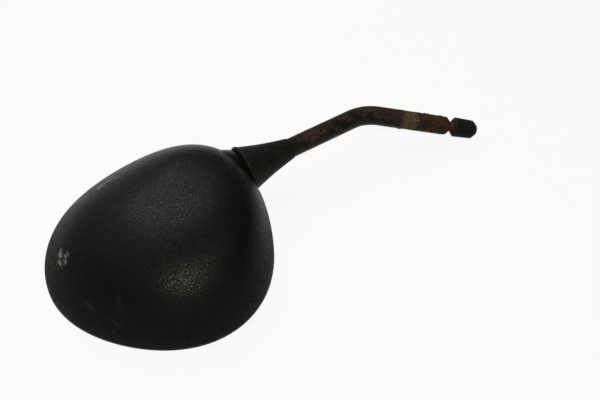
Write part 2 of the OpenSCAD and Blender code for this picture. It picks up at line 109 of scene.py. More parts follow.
# In edit mode, selects just the faces or edges that pass the test
def pick(piece, kind, test):
    bpy.ops.mesh.select_mode(type=kind)
    bpy.ops.mesh.select_all(action="DESELECT")
    mesh = bmesh.from_edit_mesh(piece.data)
    for part in mesh.faces if kind == "FACE" else mesh.edges:
        if test(part):
            part.select_set(True)
    bmesh.update_edit_mesh(piece.data)


# In edit mode, merges corners that meet and turns all faces outwards
def closeSeams():
    bpy.ops.mesh.select_all(action="SELECT")
    bpy.ops.mesh.remove_doubles(threshold=weldWithin)
    bpy.ops.mesh.normals_make_consistent(inside=False)


# A closed section of (radius, height) is spun round the Z axis
def spinSection(name, section, steps):
    piece = startPiece(name, bpy.ops.mesh.primitive_circle_add, vertices=len(section), radius=1, fill_type="NOTHING")
    for corner, (radius, height) in zip(piece.data.vertices, section):
        corner.co = (radius, 0, height)
    bpy.ops.object.mode_set(mode="EDIT")
    bpy.ops.mesh.select_all(action="SELECT")
    bpy.ops.mesh.spin(steps=steps, angle=math.tau, center=(0, 0, 0), axis=(0, 0, 1))
    closeSeams()
    bpy.ops.object.mode_set(mode="OBJECT")
    return piece


def settle(piece, place, smoothAngle=40):
    piece.data.transform(place)
    piece.matrix_world = Matrix.Identity(4)
    only(piece)
    bpy.ops.object.shade_smooth_by_angle(angle=math.radians(smoothAngle))
    return piece


def stand(piece, body, slot, *replaced):
    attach(piece, body)
    if replaced:
        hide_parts(*replaced)


# Points from one angle to another, in degrees
def arc(middle, radius, start, end, count):
    turns = [math.radians(start + (end - start) * i / count) for i in range(count + 1)]
    return [(middle[0] + radius * math.cos(turn), middle[1] + radius * math.sin(turn)) for turn in turns]


def smoothstep(value, low, high):
    share = min(max((value - low) / (high - low), 0), 1)
    return share * share * (3 - 2 * share)


# The larger of two heights, with a fillet between them
def softLarger(one, other, fillet):
    near = max(fillet - abs(one - other), 0) / fillet
    return max(one, other) + near * near * fillet / 4


def softSmaller(one, other, fillet):
    return -softLarger(-one, -other, fillet)


# the head

dome = {
    "radius": 71.8, "oval": 0.021, "ovalTurn": math.radians(7), "egg": 0.043, "eggTurn": math.radians(41),
    "crown": 51.3, "power": 2.0, "shoulderPower": 5.5, "shoulderTurn": math.radians(-1), "shoulderFocus": 5.8,
    "back": 54.6, "side": 14.4, "rim": 3.2, "wall": 2.4, "cuts": 87, "search": 60.0,
    "rimRound": 0.35, "rimLevelled": 0.15, "rimOuter": 0.4,
}

socket = {
    "bossRadius": 18.3, "pocketRadius": 19.6, "pocketFloor": 5.5, "edgeRound": 2.4, "mouth": 10.5,
    "cutFrom": -30.0, "cutTo": 60.0, "cutSides": 200, "cutWeld": 0.02,
    "roundTurns": (12, 24, 36, 48, 60, 72, 82, 90), "wallShares": (0.12, 0.26, 0.4, 0.54, 0.68, 0.8, 0.9, 0.96, 1),
    "wallLean": 0.04, "floorFrom": 0.45, "fineStep": 0.22, "fineTo": 16.5, "coarseStep": 0.5, "lastStep": 0.05,
    "fullDepth": 5.0, "floorFillet": 1.5, "bossFillet": 1.2,
}


def outlineRadius(turn):
    return dome["radius"] * (1 + dome["oval"] * math.cos(2 * (turn - dome["ovalTurn"]))
                             + dome["egg"] * math.cos(3 * (turn - dome["eggTurn"])))


# The dome is squarer towards the stem
def domePower(turn):
    facing = (1 + math.cos(turn - dome["shoulderTurn"])) / 2
    return dome["power"] + dome["shoulderPower"] * facing ** dome["shoulderFocus"]


# Below nought inside the dome, and above it outside; x and y are from the head's middle
def domeField(x, y, height):
    turn = math.atan2(y, x)
    share = math.hypot(x, y) / outlineRadius(turn)
    return share ** domePower(turn) + (height / dome["crown"]) ** 2 - 1


def findEdge(low, high, field, halvings=34):
    for _ in range(halvings):
        middle = (low + high) / 2
        if field(middle) < 0:
            low = middle
        else:
            high = middle
    return low


# How far ahead of the ball's centre the dome's face lies
def domeFront(y, height):
    return findEdge(-dome["search"], dome["search"],
                    lambda x: domeField(x + dome["back"], y + dome["side"], height))


# Height of the dome over a spot, measured to a face that lies that far inside
def domeHeight(x, y, inset):
    turn = math.atan2(y + dome["side"], x + dome["back"])
    share = math.hypot(x + dome["back"], y + dome["side"]) / (outlineRadius(turn) - inset)
    return (dome["crown"] - inset) * math.sqrt(max(1 - share ** domePower(turn), 0))


# How far in from the head's outline a spot lies
def insideOutline(spot):
    x, y = spot.x + dome["back"], spot.y + dome["side"]
    return outlineRadius(math.atan2(y, x)) - math.hypot(x, y)


# Half a rounded cube, with each corner moved out to the dome
def makeDome():
    shell = startPiece("housingShell", bpy.ops.mesh.primitive_cube_add, size=2)
    bpy.ops.object.mode_set(mode="EDIT")
    bpy.ops.mesh.select_all(action="SELECT")
    bpy.ops.mesh.subdivide(number_cuts=dome["cuts"])
    bpy.ops.transform.tosphere(value=1)
    bpy.ops.mesh.bisect(plane_co=(0, 0, 0), plane_no=(0, 0, 1), clear_inner=True, use_fill=True, threshold=sameWithin)
    bpy.ops.object.mode_set(mode="OBJECT")
    for corner in shell.data.vertices:
        way = corner.co.normalized()
        if abs(way.z) < sameWithin:
            way = Vector((way.x, way.y, 0)).normalized()
        reach = findEdge(1, 2 * dome["search"], lambda s: domeField(way.x * s, way.y * s, dome["rim"] + way.z * s))
        corner.co = Vector((way.x * reach - dome["back"], way.y * reach - dome["side"], dome["rim"] + way.z * reach))
    return shell


# The pocket round the boss starts as a clean round hole, and the dome's floor goes too
def cutHole(shell):
    holeRadius = socket["pocketRadius"] + socket["edgeRound"]
    length = socket["cutTo"] - socket["cutFrom"]
    cutter = startPiece("pocketCutter", bpy.ops.mesh.primitive_cylinder_add, vertices=socket["cutSides"],
                        radius=holeRadius, depth=length, rotation=(0, math.radians(90), 0),
                        location=(socket["cutFrom"] + length / 2, 0, ball["height"]))
    applyModifier(shell, "BOOLEAN", operation="DIFFERENCE", solver="EXACT", object=cutter)
    bpy.data.objects.remove(cutter)

    def unwanted(face):
        middle = face.calc_center_median()
        inHole = (math.hypot(middle.y, middle.z - ball["height"]) < holeRadius - sameWithin
                  and middle.x > socket["cutFrom"] - wellApart)
        return inHole or middle.z < dome["rim"] + sameWithin

    bpy.ops.object.mode_set(mode="EDIT")
    pick(shell, "FACE", unwanted)
    bpy.ops.mesh.delete(type="FACE")
    bpy.ops.mesh.select_mode(type="VERT")
    bpy.ops.mesh.select_all(action="SELECT")
    bpy.ops.mesh.remove_doubles(threshold=socket["cutWeld"])
    bpy.ops.object.mode_set(mode="OBJECT")


# The hole's edge is drawn in ring by ring: rounded edge, pocket wall, floor, boss
def drawPocket(shell):
    bpy.ops.object.mode_set(mode="EDIT")
    pick(shell, "EDGE", lambda edge: edge.is_boundary and all(v.co.z > dome["rim"] + wellApart for v in edge.verts))
    for radius, lowering, sunk in pocketRings():
        bpy.ops.mesh.extrude_region_move()
        mesh = bmesh.from_edit_mesh(shell.data)
        for corner in [v for v in mesh.verts if v.select]:
            turn = math.atan2(corner.co.z - ball["height"], corner.co.y)
            y, z = radius * math.cos(turn), ball["height"] + radius * math.sin(turn)
            corner.co = (pocketFront(y, z, radius, lowering, sunk, turn), y, z)
        bmesh.update_edit_mesh(shell.data)
    bpy.ops.object.mode_set(mode="OBJECT")


# Rings from the hole's edge to the boss's mouth: radius, how far the edge is rounded off, share of the pocket's depth
def pocketRings():
    edge, radius = socket["edgeRound"], socket["pocketRadius"]
    rounded = [math.radians(degrees) for degrees in socket["roundTurns"]]
    rings = [(radius + edge * (1 - math.sin(turn)), edge * (1 - math.cos(turn)), 0) for turn in rounded]
    rings += [(radius - socket["wallLean"] * (i + 1), edge, share) for i, share in enumerate(socket["wallShares"])]
    radius -= socket["floorFrom"]
    while radius > socket["mouth"] + socket["lastStep"]:
        rings.append((radius, edge, 1))
        radius -= socket["fineStep"] if radius > socket["fineTo"] else socket["coarseStep"]
    return rings + [(socket["mouth"], edge, 1)]


def pocketFront(y, height, radius, lowering, sunk, turn):
    edgeY = socket["pocketRadius"] * math.cos(turn)
    edgeZ = ball["height"] + socket["pocketRadius"] * math.sin(turn)
    depth = domeFront(edgeY, edgeZ) - socket["pocketFloor"]
    face = domeFront(y, height)
    top = face - lowering * smoothstep(depth, 0, socket["fullDepth"])
    floor = softSmaller(face, socket["pocketFloor"], socket["floorFillet"])
    front = top + (floor - top) * sunk
    if radius >= socket["bossRadius"]:
        return front
    return softLarger(front, math.sqrt(socket["bossRadius"] ** 2 - radius ** 2), socket["bossFillet"])


# The wall goes inwards, and the rim is levelled and its outer edge rounded
def thicken(shell):
    applyModifier(shell, "SOLIDIFY", thickness=dome["wall"], offset=-1, use_rim=True)
    for corner in shell.data.vertices:
        if corner.co.z < dome["rim"] + dome["rimLevelled"]:
            corner.co.z = dome["rim"]
    bpy.ops.object.mode_set(mode="EDIT")
    pick(shell, "EDGE", lambda edge: all(abs(v.co.z - dome["rim"]) < sameWithin
                                         and insideOutline(v.co) < dome["rimOuter"] for v in edge.verts))
    bpy.ops.mesh.bevel(offset=dome["rimRound"], segments=3, affect="EDGES")
    bpy.ops.object.mode_set(mode="OBJECT")


posts = {
    "blockSpots": [(-24.0, 0.0), (-13.0, 23.0), (-13.0, -23.0)], "blockRadius": 4.4, "blockBore": 2.02,
    "blockFrom": 31.7, "blockBoreEnd": 38.05,
    "carrierRing": 54.3, "carrierTurns": (80, 150, 215, 290), "carrierRadius": 4.15, "carrierBore": 1.77,
    "carrierFrom": 6.7, "carrierBoreEnd": 16.0, "sunkInWall": 1.2, "stub": 10.0, "sides": 32,
}


# A screw post with its bore, which hangs from the dome
def makePost(spot, radius, bore, bottom, boreEnd):
    halfUp = bottom + posts["stub"] / 2
    post = startPiece("post", bpy.ops.mesh.primitive_cylinder_add, vertices=posts["sides"], radius=radius,
                      depth=posts["stub"], end_fill_type="TRIFAN", location=(spot[0], spot[1], halfUp))
    bpy.ops.object.transform_apply(location=True, rotation=True, scale=True)
    for corner in post.data.vertices:
        if corner.co.z > halfUp:
            corner.co.z = domeHeight(corner.co.x, corner.co.y, posts["sunkInWall"])
    bpy.ops.object.mode_set(mode="EDIT")
    pick(post, "FACE", lambda face: face.calc_center_median().z < bottom + sameWithin)
    bpy.ops.mesh.inset(thickness=radius - bore, depth=0)
    bpy.ops.mesh.extrude_region_move(TRANSFORM_OT_translate={"value": (0, 0, boreEnd - bottom)})
    bpy.ops.object.mode_set(mode="OBJECT")
    return post


def makePosts():
    block = (posts["blockRadius"], posts["blockBore"], posts["blockFrom"], posts["blockBoreEnd"])
    made = [makePost(spot, *block) for spot in posts["blockSpots"]]
    carrier = (posts["carrierRadius"], posts["carrierBore"], posts["carrierFrom"], posts["carrierBoreEnd"])
    for degrees in posts["carrierTurns"]:
        turn = math.radians(degrees)
        spot = (posts["carrierRing"] * math.cos(turn) - dome["back"],
                posts["carrierRing"] * math.sin(turn) - dome["side"])
        made.append(makePost(spot, *carrier))
    return made


housing = makeDome()
cutHole(housing)
drawPocket(housing)
thicken(housing)
madePosts = makePosts()
only(housing)
for post in madePosts:
    post.select_set(True)
bpy.ops.object.join()
settle(housing, groundPlace, 35)
stand(housing, "head", "housing_plastic", "housing")
print("housing made")

rim = {
    "lip": 7.0, "lipThickness": 1.2, "lipRound": 0.2, "edge": 0.4, "band": 2.2, "lean": 0.25,
    "bandIn": 0.6, "grooveFloor": 1.3, "skirtIn": 2.65, "skirtLean": 0.4, "skirtTop": 4.6, "insideIn": 4.55,
    "steps": 288,
}


# The bezel's section as (distance in from the outline, height): the lip round the glass, the rounded outer edge,
# the band that shows, the parting groove above it, and the skirt inside the housing
def rimSection():
    small, edge, lean, band = rim["lipRound"], rim["edge"], rim["lean"], rim["band"]
    lip, lipTop, top = rim["lip"], rim["lipThickness"], rim["skirtTop"]
    return (arc((lip - small, small), small, 0, -90, 4)
            + arc((edge, edge), edge, -90, -180, 8)
            + arc((lean + small, band - small), small, 170, 90, 3)
            + [(rim["bandIn"], band), (rim["bandIn"] + small, rim["grooveFloor"]),
               (rim["skirtIn"], rim["grooveFloor"]), (rim["skirtIn"] + rim["skirtLean"], top),
               (rim["insideIn"], top), (rim["insideIn"], lipTop)]
            + arc((lip - small, lipTop - small), small, 90, 0, 3))


bezel = spinSection("bezelRing", [(dome["radius"] - inset, height) for inset, height in rimSection()], rim["steps"])
for corner in bezel.data.vertices:
    turn = math.atan2(corner.co.y, corner.co.x)
    reach = outlineRadius(turn) - (dome["radius"] - math.hypot(corner.co.x, corner.co.y))
    corner.co = (reach * math.cos(turn) - dome["back"], reach * math.sin(turn) - dome["side"], corner.co.z)
settle(bezel, groundPlace, 40)
stand(bezel, "head", "bezel_plastic", "front_bezel")
print("bezel made")

# the boot

boot = {
    "seat": 18.8, "lipRadius": 16.2, "lipThickness": 2.7, "lipRound": 1.3, "lipStep": 0.8, "lipWidth": 1.8,
    "lipShares": ((0.35, 0.0), (0.6, 0.14), (0.8, 0.5)), "beadFrom": 165, "end": 48.0, "tip": 7.1, "tipBevel": 0.4,
    "grip": 17.0, "bore": 6.52, "waist": 0.6, "wall": 2.2, "rows": 36, "steps": 160,
}


# The boot's section as (radius, distance ahead of the ball)
def bootSection():
    edge = boot["lipRadius"] - boot["lipRound"]
    lipAt = math.sqrt(boot["seat"] ** 2 - edge ** 2)
    beadAt = lipAt + boot["lipRound"]
    start = (beadAt + boot["lipWidth"], boot["lipRadius"] - boot["lipStep"])
    stop = (boot["end"] - boot["tipBevel"], boot["tip"])
    low = math.degrees(math.asin((boot["lipRadius"] - boot["lipThickness"]) / boot["seat"]))
    high = math.degrees(math.asin(edge / boot["seat"]))

    def flankAt(share):
        return (start[0] + (stop[0] - start[0]) * share,
                start[1] + (stop[1] - start[1]) * share - boot["waist"] * math.sin(math.pi * share))

    under = arc((0, 0), boot["seat"], low, high, 10)
    bead = arc((beadAt, edge), boot["lipRound"], boot["beadFrom"], 90, 7)
    step = [(beadAt + share * boot["lipWidth"], boot["lipRadius"] - fall) for share, fall in boot["lipShares"]]
    flank = [flankAt(i / boot["rows"]) for i in range(boot["rows"] + 1)]
    tip = arc((stop[0], stop[1] - boot["tipBevel"]), boot["tipBevel"], 60, 0, 4)
    inside = boot["end"] - boot["grip"]
    insideRadius = flankAt((inside - start[0]) / (stop[0] - start[0]))[1] - boot["wall"]
    bore = [(boot["end"], boot["bore"]), (inside, boot["bore"]), (inside, insideRadius)]
    return [(radius, along) for along, radius in under + bead + step + flank + tip + bore]


rubberBoot = settle(spinSection("rubberBoot", bootSection(), boot["steps"]), axisPlace, 50)
stand(rubberBoot, "stem", "boot_rubber", "boot")
print("boot made")

# the stem

bendStart = rod["reach"] - rod["bendRadius"] * math.tan(rod["bend"] / 2)
bendEnd = bendStart + rod["bendRadius"] * rod["bend"]
shoulderStation = bendEnd + rod["arm"] - rod["bendRadius"] * math.tan(rod["bend"] / 2)
threadStation = shoulderStation + rod["grooveWidth"]
endStation = shoulderStation + rod["threadLength"]
ballFlat = math.sqrt(ball["radius"] ** 2 - (rod["neck"] + rod["neckPlay"]) ** 2)

rodMesh = {"sides": 112, "step": 0.6, "threadStep": 0.1}


# Stations along the stem and the radius there, from the spigot's end to the thread's end
def rodStations():
    corners = [(-ballFlat, 0.0), (-ballFlat, rod["spigot"] - rod["spigotBevel"]),
               (rod["spigotBevel"] - ballFlat, rod["spigot"]), (ballFlat, rod["spigot"]),
               (ballFlat, rod["neck"]), (rod["neckEnd"], rod["neck"]), (rod["neckEnd"] + rod["neckTaper"], rod["bar"]),
               (shoulderStation - rod["shoulderBevel"], rod["bar"]),
               (shoulderStation, rod["bar"] - rod["shoulderBevel"]), (shoulderStation, rod["groove"]),
               (threadStation, rod["groove"])]
    stations = [corners[0]]
    for (station, radius), (nextStation, nextRadius) in zip(corners, corners[1:]):
        count = max(1, math.ceil((nextStation - station) / rodMesh["step"]))
        for i in range(1, count + 1):
            share = i / count
            stations.append((station + (nextStation - station) * share, radius + (nextRadius - radius) * share))
    rows = round((endStation - threadStation) / rodMesh["threadStep"])
    stations += [(threadStation + (endStation - threadStation) * i / rows, rod["thread"]) for i in range(1, rows + 1)]
    return stations + [(endStation, 0.0)]


# Centre of the bar at a station and its sideways direction there, in the stem's own plane
def rodFrame(station):
    turn = min(max(station - bendStart, 0), bendEnd - bendStart) / rod["bendRadius"]
    middle = Vector((min(station, bendStart) + rod["bendRadius"] * math.sin(turn),
                     -rod["bendRadius"] * (1 - math.cos(turn)), 0))
    if station > bendEnd:
        middle += Vector((math.cos(turn), -math.sin(turn), 0)) * (station - bendEnd)
    return middle, Vector((math.sin(turn), math.cos(turn), 0))


def threadRadius(station, turn):
    past, left = station - threadStation, endStation - station
    wave = abs(2 * ((past / rod["pitch"] - turn / math.tau) % 1) - 1)
    crest = min(max(rod["flankSlope"] * wave - rod["rootWidth"], 0), 1)
    full = min(smoothstep(past, 0, rod["runOut"]), smoothstep(left, 0, rod["runOut"]))
    root = rod["threadRoot"] - rod["runOutDepth"] * (1 - full)
    return root + (rod["thread"] - rod["threadRoot"]) * crest * full


# What is left of the paint, and how the rust under it swells. A noise is (scale, roughness, spread, octaves).
flaking = {
    "from": 49.5, "fadeIn": 3.0, "least": 0.1, "leastWeight": 0.02, "patches": 0.8, "blotches": 0.55,
    "range": (0.3, 0.65), "blotch": (0.28, 0.9, 2.1, 3), "speck": 0.9, "specks": 0.5,
    "paintDepth": 0.1, "scab": (0.8, 0.8, 2.2, 3), "scabHeight": 0.34, "scabLowest": -0.3,
    "swell": 0.36, "swellHeight": 0.5, "wave": 0.5, "waveHeight": 0.05,
    "leastLumps": 0.4, "lumpsFrom": 104, "lumpsTo": 122, "grooveRust": 0.9, "threadRust": 0.45, "grooveRustTo": 4.0,
}

tints = {
    "brown": (0.033, 0.0205, 0.0135), "purple": (0.024, 0.0165, 0.014), "umber": (0.016, 0.011, 0.0085),
    # Of the next line's tints, the second, a pale grey-brown, is a painted highlight for the lit top of the bend
    "olive": (0.02, 0.017, 0.012), "bendHighlight": (0.026, 0.0245, 0.0195), "pale": (0.085, 0.062, 0.036),
    "orange": (0.042, 0.021, 0.0082), "red": (0.075, 0.015, 0.009), "slate": (0.012, 0.0115, 0.01),
    "neck": (0.05, 0.033, 0.022),
}

# Where the paint has come off: middle along the bar, half length, middle round the bar and half turn in degrees,
# strength, and tint. At 90 degrees a patch faces up from the stem's plane.
# The two patches at 104 and 110 along the bar lie on the bend, and their pale tint is a painted highlight on its upper
# side
rustPatches = [
    (63, 8, 78, 50, 1.15, "brown"), (75.2, 5, 66, 36, 0.85, "umber"), (91.4, 6.5, 56, 42, 0.95, "brown"),
    (103, 4, 200, 60, 0.6, "brown"), (110, 6, 62, 36, 0.85, "bendHighlight"), (119, 5, 85, 34, 0.8, "purple"),
    (127, 8.5, 76, 48, 1.1, "purple"), (131, 3, 125, 26, 0.7, "olive"), (138.6, 4.9, 90, 170, 1.2, "pale"),
    (146.5, 2.2, 60, 30, 1.2, "slate"), (146, 2.5, 150, 30, 0.8, "olive"), (151, 4, 60, 50, 0.9, "orange"),
    (152, 4.5, 112, 26, 1.5, "slate"), (158, 9, 64, 60, 1.2, "orange"), (155, 1.7, 48, 16, 2.2, "red"),
    (155.5, 1.7, 140, 14, 2.2, "red"), (162, 3, 125, 20, 1.1, "umber"), (166.5, 2.6, 90, 110, 1.3, "orange"),
    (70, 8, 270, 50, 0.7, "purple"), (96, 7, 285, 45, 0.75, "brown"), (132, 9, 260, 55, 0.85, "orange"),
    (160, 9, 255, 70, 0.9, "brown"), (84, 4, 170, 30, 0.5, "brown"), (104, 3, 40, 30, 0.8, "bendHighlight"),
]


def fractalAt(spot, scale, roughness, spread, octaves):
    return noise.fractal(spot * scale, roughness, spread, octaves)


# How rusty the bar is at a spot, and the tint there
def rustAt(station, turn, spot):
    strength, weight = flaking["least"], flaking["leastWeight"]
    tint = Vector(tints["brown"]) * weight
    for middle, half, facing, spread, power, tintName in rustPatches:
        off = (math.degrees(turn) - facing + 180) % 360 - 180
        near = power * math.exp(-((station - middle) / half) ** 2 - (off / spread) ** 2)
        strength += near
        weight += near * near
        tint += near * near * Vector(tints[tintName])
    blotch = fractalAt(spot, *flaking["blotch"]) + flaking["specks"] * noise.noise(spot * flaking["speck"])
    share = smoothstep(strength * flaking["patches"] + flaking["blotches"] * blotch, *flaking["range"])
    return share, tint / weight


# How far rust and lost paint move the bar's face in or out
def flakedBy(station, spot, rust, fade):
    scab = max(fractalAt(spot, *flaking["scab"]), flaking["scabLowest"])
    swelling = flaking["scabHeight"] * scab + flaking["swellHeight"] * noise.noise(spot * flaking["swell"])
    least = flaking["leastLumps"]
    lumps = least + (1 - least) * smoothstep(station, flaking["lumpsFrom"], flaking["lumpsTo"])
    wave = flaking["waveHeight"] * noise.noise(spot * flaking["wave"]) * fade
    return -flaking["paintDepth"] * rust + rust * lumps * swelling + wave


def makeRod():
    stations = rodStations()
    sides, rows = rodMesh["sides"], len(stations) - 1
    piece = startPiece("rustyStem", bpy.ops.mesh.primitive_grid_add, x_subdivisions=sides, y_subdivisions=rows, size=2)
    mesh = piece.data
    rustShares = [0.0] * len(mesh.vertices)
    rustTints = [(0, 0, 0, 1)] * len(mesh.vertices)
    for index, corner in enumerate(mesh.vertices):
        row = round((corner.co.y + 1) / 2 * rows)
        turn = math.tau * round((corner.co.x + 1) / 2 * sides) / sides
        station, radius = stations[row]
        middle, sideways = rodFrame(station)
        outward = sideways * math.cos(turn) + Vector((0, 0, 1)) * math.sin(turn)
        spot = middle + outward * rod["bar"]
        rust, tint = 0.0, tints["brown"]
        if flaking["from"] < station < shoulderStation + sameWithin:
            fade = smoothstep(station, flaking["from"], flaking["from"] + flaking["fadeIn"])
            rust, tint = rustAt(station, turn, spot)
            rust *= fade
            if radius > rod["groove"] + sameWithin:
                radius += flakedBy(station, spot, rust, fade)
        elif station >= shoulderStation:
            inGroove = station < shoulderStation + flaking["grooveRustTo"]
            rust, tint = flaking["grooveRust"] if inGroove else flaking["threadRust"], tints["neck"]
        if station > threadStation and radius > 0:
            radius = threadRadius(station, turn)
        rustShares[index] = rust
        rustTints[index] = (*tint, 1)
        corner.co = middle + outward * radius
    shares = mesh.attributes.new("rust", "FLOAT", "POINT")
    shares.data.foreach_set("value", rustShares)
    colours = mesh.attributes.new("tint", "FLOAT_COLOR", "POINT")
    for place, tint in zip(colours.data, rustTints):
        place.color = tint
    bpy.ops.object.mode_set(mode="EDIT")
    closeSeams()
    bpy.ops.object.mode_set(mode="OBJECT")
    return piece


stem = settle(makeRod(), rodPlace, 50)
stand(stem, "stem", "stem_paint", "stem")
print("stem made")

# the cap


# The cap's section as (radius, distance past the shoulder): its bore, its mouth, its side and its bevelled end
def sleeveSection():
    start, end = sleeve["start"], sleeve["start"] + sleeve["length"]
    bore, mouth, radius, endRadius = sleeve["bore"], sleeve["mouthBevel"], sleeve["mouthRadius"], sleeve["endRadius"]
    lip, face, side = sleeve["lipRound"], sleeve["faceRound"], sleeve["sideRound"]
    bevelFrom, bevelTo = end - sleeve["endTaper"], endRadius - sleeve["endBevel"]
    sideFrom, sideLength = start + mouth + sleeve["sideFrom"], bevelFrom - start - mouth - sleeve["sideShorter"]
    return ([(0, sleeve["boreEnd"]), (bore, sleeve["boreEnd"]), (bore, start + lip)]
            + arc((bore + lip, start + lip), lip, 180, 270, 4)
            + arc((radius - mouth - sleeve["faceIn"], start + face), face, 270, 315, 3)
            + arc((radius - side, start + mouth + sleeve["sideUp"]), side, -45, 0, 4)
            + [(radius + (endRadius - radius) * share, sideFrom + sideLength * share) for share in sleeve["sideShares"]]
            + [(endRadius + out, bevelFrom + along) for out, along in sleeve["bevelCorner"]]
            + [(bevelTo + out, end + along) for out, along in sleeve["endCorner"]] + [(0, end)])


cap = settle(spinSection("threadCap", sleeveSection(), sleeve["steps"]), threadPlace, 40)
stand(cap, "cap", "cap_plastic", "thread_cap")
print("cap made")

# finishes

noiseMiddle = 0.5       # what a noise node gives on average

socketNames = {
    "colour": "Base Color", "roughness": "Roughness", "metal": "Metallic", "normal": "Normal",
    "gloss": "Specular IOR Level", "coat": "Coat Weight", "coatRoughness": "Coat Roughness",
}


class Wire:     # a socket that sums can be written with
    def __init__(self, finish, socket):
        self.finish, self.socket = finish, socket

    def __add__(self, other):
        return self.finish.reckon("ADD", self, other)

    def __sub__(self, other):
        return self.finish.reckon("SUBTRACT", self, other)

    def __rsub__(self, other):
        return self.finish.reckon("SUBTRACT", other, self)

    def __mul__(self, other):
        return self.finish.reckon("MULTIPLY", self, other)

    __radd__ = __add__
    __rmul__ = __mul__


class Finish:   # a material that is built up node by node
    def __init__(self, name, **constants):
        self.material = bpy.data.materials.new(name)
        self.material.use_nodes = True
        self.tree = self.material.node_tree
        self.shader = self.tree.nodes["Principled BSDF"]
        self.place = self.node("ShaderNodeTexCoord", "Object")
        for key, value in constants.items():
            self.shader.inputs[socketNames[key]].default_value = value

    def node(self, kind, output, settings=None, values=None):
        made = self.tree.nodes.new(kind)
        for key, value in (settings or {}).items():
            setattr(made, key, value)
        for key, value in (values or {}).items():
            if isinstance(value, Wire):
                self.tree.links.new(value.socket, made.inputs[key])
            else:
                made.inputs[key].default_value = value
        return Wire(self, made.outputs[output])

    def reckon(self, operation, *values):
        return self.node("ShaderNodeMath", 0, {"operation": operation}, dict(enumerate(values)))

    def speckle(self, scale, detail=3, roughness=0.55, at=None):
        values = {"Vector": at or self.place, "Scale": scale, "Detail": detail, "Roughness": roughness}
        return self.node("ShaderNodeTexNoise", "Fac", None, values)

    def cells(self, scale):
        return self.node("ShaderNodeTexVoronoi", "Distance", None, {"Vector": self.place, "Scale": scale})

    # a smooth step from one value to another, while the pattern goes from low to high
    def between(self, value, low, high, toLow=0.0, toHigh=1.0):
        values = {"Value": value, "From Min": low, "From Max": high, "To Min": toLow, "To Max": toHigh}
        return self.node("ShaderNodeMapRange", "Result", {"interpolation_type": "SMOOTHSTEP"}, values)

    # a Mix node's sockets for colours are 6 and 7, and 2 on its way out
    def mixed(self, share, one, other):
        one, other = [colour if isinstance(colour, Wire) else (*colour, 1) for colour in (one, other)]
        return self.node("ShaderNodeMix", 2, {"data_type": "RGBA"}, {0: share, 6: one, 7: other})

    # how far each point lies from a spot, in metres
    def distance(self, spot):
        return self.node("ShaderNodeVectorMath", "Value", {"operation": "DISTANCE"}, {0: self.place, 1: tuple(spot)})

    # 1 along a line between two spots, falling to 0 at that width from it
    def streak(self, start, end, width, core=0.2):
        way = end - start
        values = {"Vector": self.place, "Location": tuple((start + end) / 2),
                  "Rotation": tuple(way.to_track_quat("X", "Z").to_euler()),
                  "Scale": (way.length / 2 + width, width, width)}
        along = self.node("ShaderNodeMapping", "Vector", {"vector_type": "TEXTURE"}, values)
        near = self.node("ShaderNodeVectorMath", "Value", {"operation": "LENGTH"}, {0: along})
        return self.between(near, core, 1.0, 1.0, 0.0)

    def stretched(self, scale, turn=(0, 0, 0)):
        values = {"Vector": self.place, "Rotation": turn, "Scale": scale}
        return self.node("ShaderNodeMapping", "Vector", None, values)

    def bump(self, height, strength, depth):
        return self.node("ShaderNodeBump", "Normal", None, {"Height": height, "Strength": strength, "Distance": depth})

    def feed(self, key, value):
        self.tree.links.new(value.socket, self.shader.inputs[socketNames[key]])

    # lays a colour over what the shader already has
    def overlay(self, share, colour):
        under = Wire(self, self.shader.inputs[socketNames["colour"]].links[0].from_socket)
        self.feed("colour", self.mixed(share, under, colour))


# In a look, a noise is (scale, detail, roughness), scales are per metre and depths in metres. A range is (low, high)
# of a pattern, and where it has four numbers, also what it becomes there. A bump is (strength, depth).

# Two tones and a roughness from one broad speckle, and a bump from a fine one
def cloudyFinish(name, look, **constants):
    finish = Finish(name, **constants)
    finish.cloud = finish.speckle(*look["cloud"])
    finish.feed("colour", finish.mixed(finish.between(finish.cloud, *look["toneRange"]), *look["tones"]))
    finish.feed("roughness", finish.between(finish.cloud, *look["roughRange"]))
    if "grain" in look:
        finish.feed("normal", finish.bump(finish.speckle(*look["grain"]), *look["bump"]))
    return finish


def wear(piece, finish):
    piece.data.materials.clear()
    piece.data.materials.append(finish.material)


def dress(name, finish):
    for place in nodes[name].material_slots:
        place.material = finish.material


grained = {
    "gloss": 0.09, "broad": (38, 4, 0.6), "toneRange": (0.3, 0.75),
    "tones": ((0.0034, 0.0037, 0.0037), (0.005, 0.0054, 0.0054)),
    "pebbles": 860, "pebbleRange": (0.05, 0.7, 0.0, -0.6), "creases": (820, 1), "creaseRange": (0.0, 0.1, 0.0, 0.5),
    "bump": (1.0, 0.00011), "hollowRange": (-0.4, 0.3, 0.8, 0.0), "hollow": (0.0015, 0.0015, 0.0015),
    "paintedLightAt": (-85, 15, 45), "paintedLightRange": (0.02, 0.075, 1.0, 0.0), "paintedLightWaver": 0.04,
    "paintedLight": (0.0105, 0.0112, 0.011),       # painted light: the far top left of the dome is paler, where light falls on it
    "dust": (420, 4, 0.7), "dustRange": (0.7, 0.8, 0.0, 0.2), "dusty": (0.016, 0.016, 0.0155),
    "flecks": (1300, 3, 0.7), "fleckRange": (0.4, 0.56, 0.3, 1.0),
    "tears": (430, 5, 0.85), "tearRange": (0.41, 0.58, 0.0, 1.6), "dragged": ((1.0, 0.45, 1.6), (0.5, 0.3, 0.6)),
    "tornAbove": 3.5, "scrapeRange": (0.2, 0.9), "scraped": (0.24, 0.245, 0.24),
    "roughRange": (-0.3, 0.3, 0.4, 0.13), "roughWaver": 0.05,
    "lowRange": (0.0, 0.03, 0.4, 0.0),      # the sides are duller towards the rim
}

